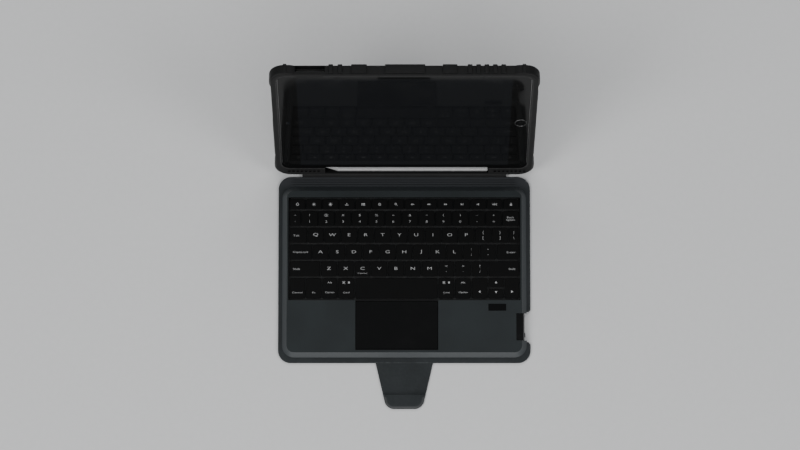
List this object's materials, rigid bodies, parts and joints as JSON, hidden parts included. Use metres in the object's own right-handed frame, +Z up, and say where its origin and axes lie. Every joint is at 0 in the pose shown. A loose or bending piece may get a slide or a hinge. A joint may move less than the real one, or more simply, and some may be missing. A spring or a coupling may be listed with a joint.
{
  "type": "tablet keyboard case",
  "caption": "Tablet keyboard case, open: keyboard deck with trackpad and closing strap, and a tilted rugged shell on a kickstand holding a tablet and a stylus.",
  "frame": {"origin": "centre of the keyboard deck's flat bottom face, on the surface it rests on", "axes": "+X to the user's right, +Y from the user towards the upright shell, +Z up"},
  "size_m": [0.2656, 0.3308, 0.1774],
  "materials": {
    "board_green": "solder mask",
    "bumper_black": "matt soft rubber",
    "core_grey": "battery and boards",
    "cover_leather": "soft matt synthetic leather",
    "film": "clear printed film",
    "foil_grey": "battery foil",
    "key_black": "satin black plastic",
    "led_white": "light emitting package",
    "lens_black": "lens glass",
    "liner_fabric": "short microfibre",
    "magnet_metal": "nickel plate",
    "panel_grey": "fine matt moulded plastic",
    "screen_glass": "black backed glass",
    "shell_black": "hard matt plastic",
    "silicone": "translucent silicone",
    "stand_metal": "dark anodised",
    "steel": "plain steel",
    "stylus_white": "smooth white",
    "tablet_metal": "anodised",
    "trackpad_black": "smooth black",
    "white_plastic": "white moulding",
    "window_smoke": "smoked clear window"
  },
  "bodies": {
    "deck": {"base_cover": "cover_leather", "deck_panel": "panel_grey", "support_plate": "steel", "membrane_sheet": "film", "dome_sheet": "silicone", "key_plate": "key_black", "scissor_frames": "white_plastic", "trackpad_bracket": "steel", "trackpad_switch": "steel", "battery": "foil_grey", "main_board": "board_green", "board_screws": "steel", "status_leds": "led_white", "indicator_window": "window_smoke", "port_block": "key_black", "charge_socket": "steel", "hinge_gusset": "cover_leather"},
    "lid": {"bumper": "bumper_black", "back_plate": "shell_black", "back_liner": "liner_fabric", "hinge_rail": "cover_leather", "rail_magnets": "magnet_metal", "kickstand_pin": "steel"},
    "kickstand": {"kickstand": "stand_metal", "kickstand_foot": "bumper_black"},
    "strap": {"closure_strap": "cover_leather"},
    "strap_tip": {"strap_tab": "cover_leather", "strap_pad": "cover_leather", "strap_magnet": "magnet_metal"},
    "trackpad": {"trackpad_plate": "trackpad_black", "trackpad_board": "board_green"},
    "power_slider": {"power_slider": "key_black"},
    "tablet": {"tablet_housing": "tablet_metal", "tablet_glass": "screen_glass", "tablet_core": "core_grey", "tablet_camera": "lens_black"},
    "home_button": {"home_button": "screen_glass"},
    "volume_up": {"volume_up_key": "tablet_metal"},
    "volume_down": {"volume_down_key": "tablet_metal"},
    "stylus": {"stylus_barrel": "stylus_white", "stylus_nib": "stylus_white"},
    "function_keys": {"function_keys": "key_black"},
    "number_keys": {"number_keys": "key_black"},
    "backspace_key": {"backspace_key": "key_black"},
    "tab_key": {"tab_key": "key_black"},
    "upper_letter_keys": {"upper_letter_keys": "key_black"},
    "caps_lock_key": {"caps_lock_key": "key_black"},
    "home_letter_keys": {"home_letter_keys": "key_black"},
    "enter_key": {"enter_key": "key_black"},
    "left_shift_key": {"left_shift_key": "key_black"},
    "lower_letter_keys": {"lower_letter_keys": "key_black"},
    "right_shift_key": {"right_shift_key": "key_black"},
    "modifier_keys": {"modifier_keys": "key_black"},
    "space_bar": {"space_bar": "key_black"},
    "arrow_left_key": {"arrow_left_key": "key_black"},
    "arrow_up_key": {"arrow_up_key": "key_black"},
    "arrow_down_key": {"arrow_down_key": "key_black"},
    "arrow_right_key": {"arrow_right_key": "key_black"}
  },
  "joints": [
    {"name": "lid_hinge", "type": "hinge", "parent": "deck", "child": "lid", "pos_m": [0, 0.0962, 0.00688], "axis": [-1, 0, 0], "range_deg": [-115, 10]},
    {"name": "kickstand_hinge", "type": "hinge", "parent": "lid", "child": "kickstand", "pos_m": [0, 0.14874, 0.09018], "axis": [1, 0, 0], "range_deg": [-36.93, 65]},
    {"name": "strap_fold", "type": "hinge", "parent": "deck", "child": "strap", "pos_m": [0, -0.0969, 0.00075], "axis": [1, 0, 0], "range_deg": [-90, 0]},
    {"name": "strap_tip_fold", "type": "hinge", "parent": "strap", "child": "strap_tip", "pos_m": [0, -0.11935, 0.00075], "axis": [1, 0, 0], "range_deg": [-90, 0]},
    {"name": "trackpad_click", "type": "slide", "parent": "deck", "child": "trackpad", "axis": [0, 0, -1], "range_m": [0, 0.0003], "stiffness_N_per_m": 3000},
    {"name": "power_slide", "type": "slide", "parent": "deck", "child": "power_slider", "axis": [0, 1, 0], "range_m": [0, 0.003]},
    {"name": "tablet_lift_out", "type": "slide", "parent": "lid", "child": "tablet", "axis": [0, -0.9063, 0.4226], "range_m": [0, 0.03]},
    {"name": "home_press", "type": "slide", "parent": "tablet", "child": "home_button", "axis": [0, 0.9063, -0.4226], "range_m": [0, 0.0003], "stiffness_N_per_m": 1500},
    {"name": "volume_up_press", "type": "slide", "parent": "tablet", "child": "volume_up", "axis": [0, -0.4226, -0.9063], "range_m": [0, 0.0004], "stiffness_N_per_m": 1500},
    {"name": "volume_down_press", "type": "slide", "parent": "tablet", "child": "volume_down", "axis": [0, -0.4226, -0.9063], "range_m": [0, 0.0004], "stiffness_N_per_m": 1500},
    {"name": "stylus_lift_out", "type": "slide", "parent": "lid", "child": "stylus", "axis": [0, -0.9063, 0.4226], "range_m": [0, 0.02]},
    {"name": "function_keys_press", "type": "slide", "parent": "deck", "child": "function_keys", "axis": [0, 0, -1], "range_m": [0, 0.0009], "stiffness_N_per_m": 8400},
    {"name": "number_keys_press", "type": "slide", "parent": "deck", "child": "number_keys", "axis": [0, 0, -1], "range_m": [0, 0.0009], "stiffness_N_per_m": 7800},
    {"name": "backspace_key_press", "type": "slide", "parent": "deck", "child": "backspace_key", "axis": [0, 0, -1], "range_m": [0, 0.0009], "stiffness_N_per_m": 600},
    {"name": "tab_key_press", "type": "slide", "parent": "deck", "child": "tab_key", "axis": [0, 0, -1], "range_m": [0, 0.0009], "stiffness_N_per_m": 600},
    {"name": "upper_letter_keys_press", "type": "slide", "parent": "deck", "child": "upper_letter_keys", "axis": [0, 0, -1], "range_m": [0, 0.0009], "stiffness_N_per_m": 7800},
    {"name": "caps_lock_key_press", "type": "slide", "parent": "deck", "child": "caps_lock_key", "axis": [0, 0, -1], "range_m": [0, 0.0009], "stiffness_N_per_m": 600},
    {"name": "home_letter_keys_press", "type": "slide", "parent": "deck", "child": "home_letter_keys", "axis": [0, 0, -1], "range_m": [0, 0.0009], "stiffness_N_per_m": 6600},
    {"name": "enter_key_press", "type": "slide", "parent": "deck", "child": "enter_key", "axis": [0, 0, -1], "range_m": [0, 0.0009], "stiffness_N_per_m": 600},
    {"name": "left_shift_key_press", "type": "slide", "parent": "deck", "child": "left_shift_key", "axis": [0, 0, -1], "range_m": [0, 0.0009], "stiffness_N_per_m": 600},
    {"name": "lower_letter_keys_press", "type": "slide", "parent": "deck", "child": "lower_letter_keys", "axis": [0, 0, -1], "range_m": [0, 0.0009], "stiffness_N_per_m": 6000},
    {"name": "right_shift_key_press", "type": "slide", "parent": "deck", "child": "right_shift_key", "axis": [0, 0, -1], "range_m": [0, 0.0009], "stiffness_N_per_m": 600},
    {"name": "modifier_keys_press", "type": "slide", "parent": "deck", "child": "modifier_keys", "axis": [0, 0, -1], "range_m": [0, 0.0009], "stiffness_N_per_m": 3600},
    {"name": "space_bar_press", "type": "slide", "parent": "deck", "child": "space_bar", "axis": [0, 0, -1], "range_m": [0, 0.0009], "stiffness_N_per_m": 600},
    {"name": "arrow_left_key_press", "type": "slide", "parent": "deck", "child": "arrow_left_key", "axis": [0, 0, -1], "range_m": [0, 0.0009], "stiffness_N_per_m": 600},
    {"name": "arrow_up_key_press", "type": "slide", "parent": "deck", "child": "arrow_up_key", "axis": [0, 0, -1], "range_m": [0, 0.0009], "stiffness_N_per_m": 600},
    {"name": "arrow_down_key_press", "type": "slide", "parent": "deck", "child": "arrow_down_key", "axis": [0, 0, -1], "range_m": [0, 0.0009], "stiffness_N_per_m": 600},
    {"name": "arrow_right_key_press", "type": "slide", "parent": "deck", "child": "arrow_right_key", "axis": [0, 0, -1], "range_m": [0, 0.0009], "stiffness_N_per_m": 600}
  ]
}
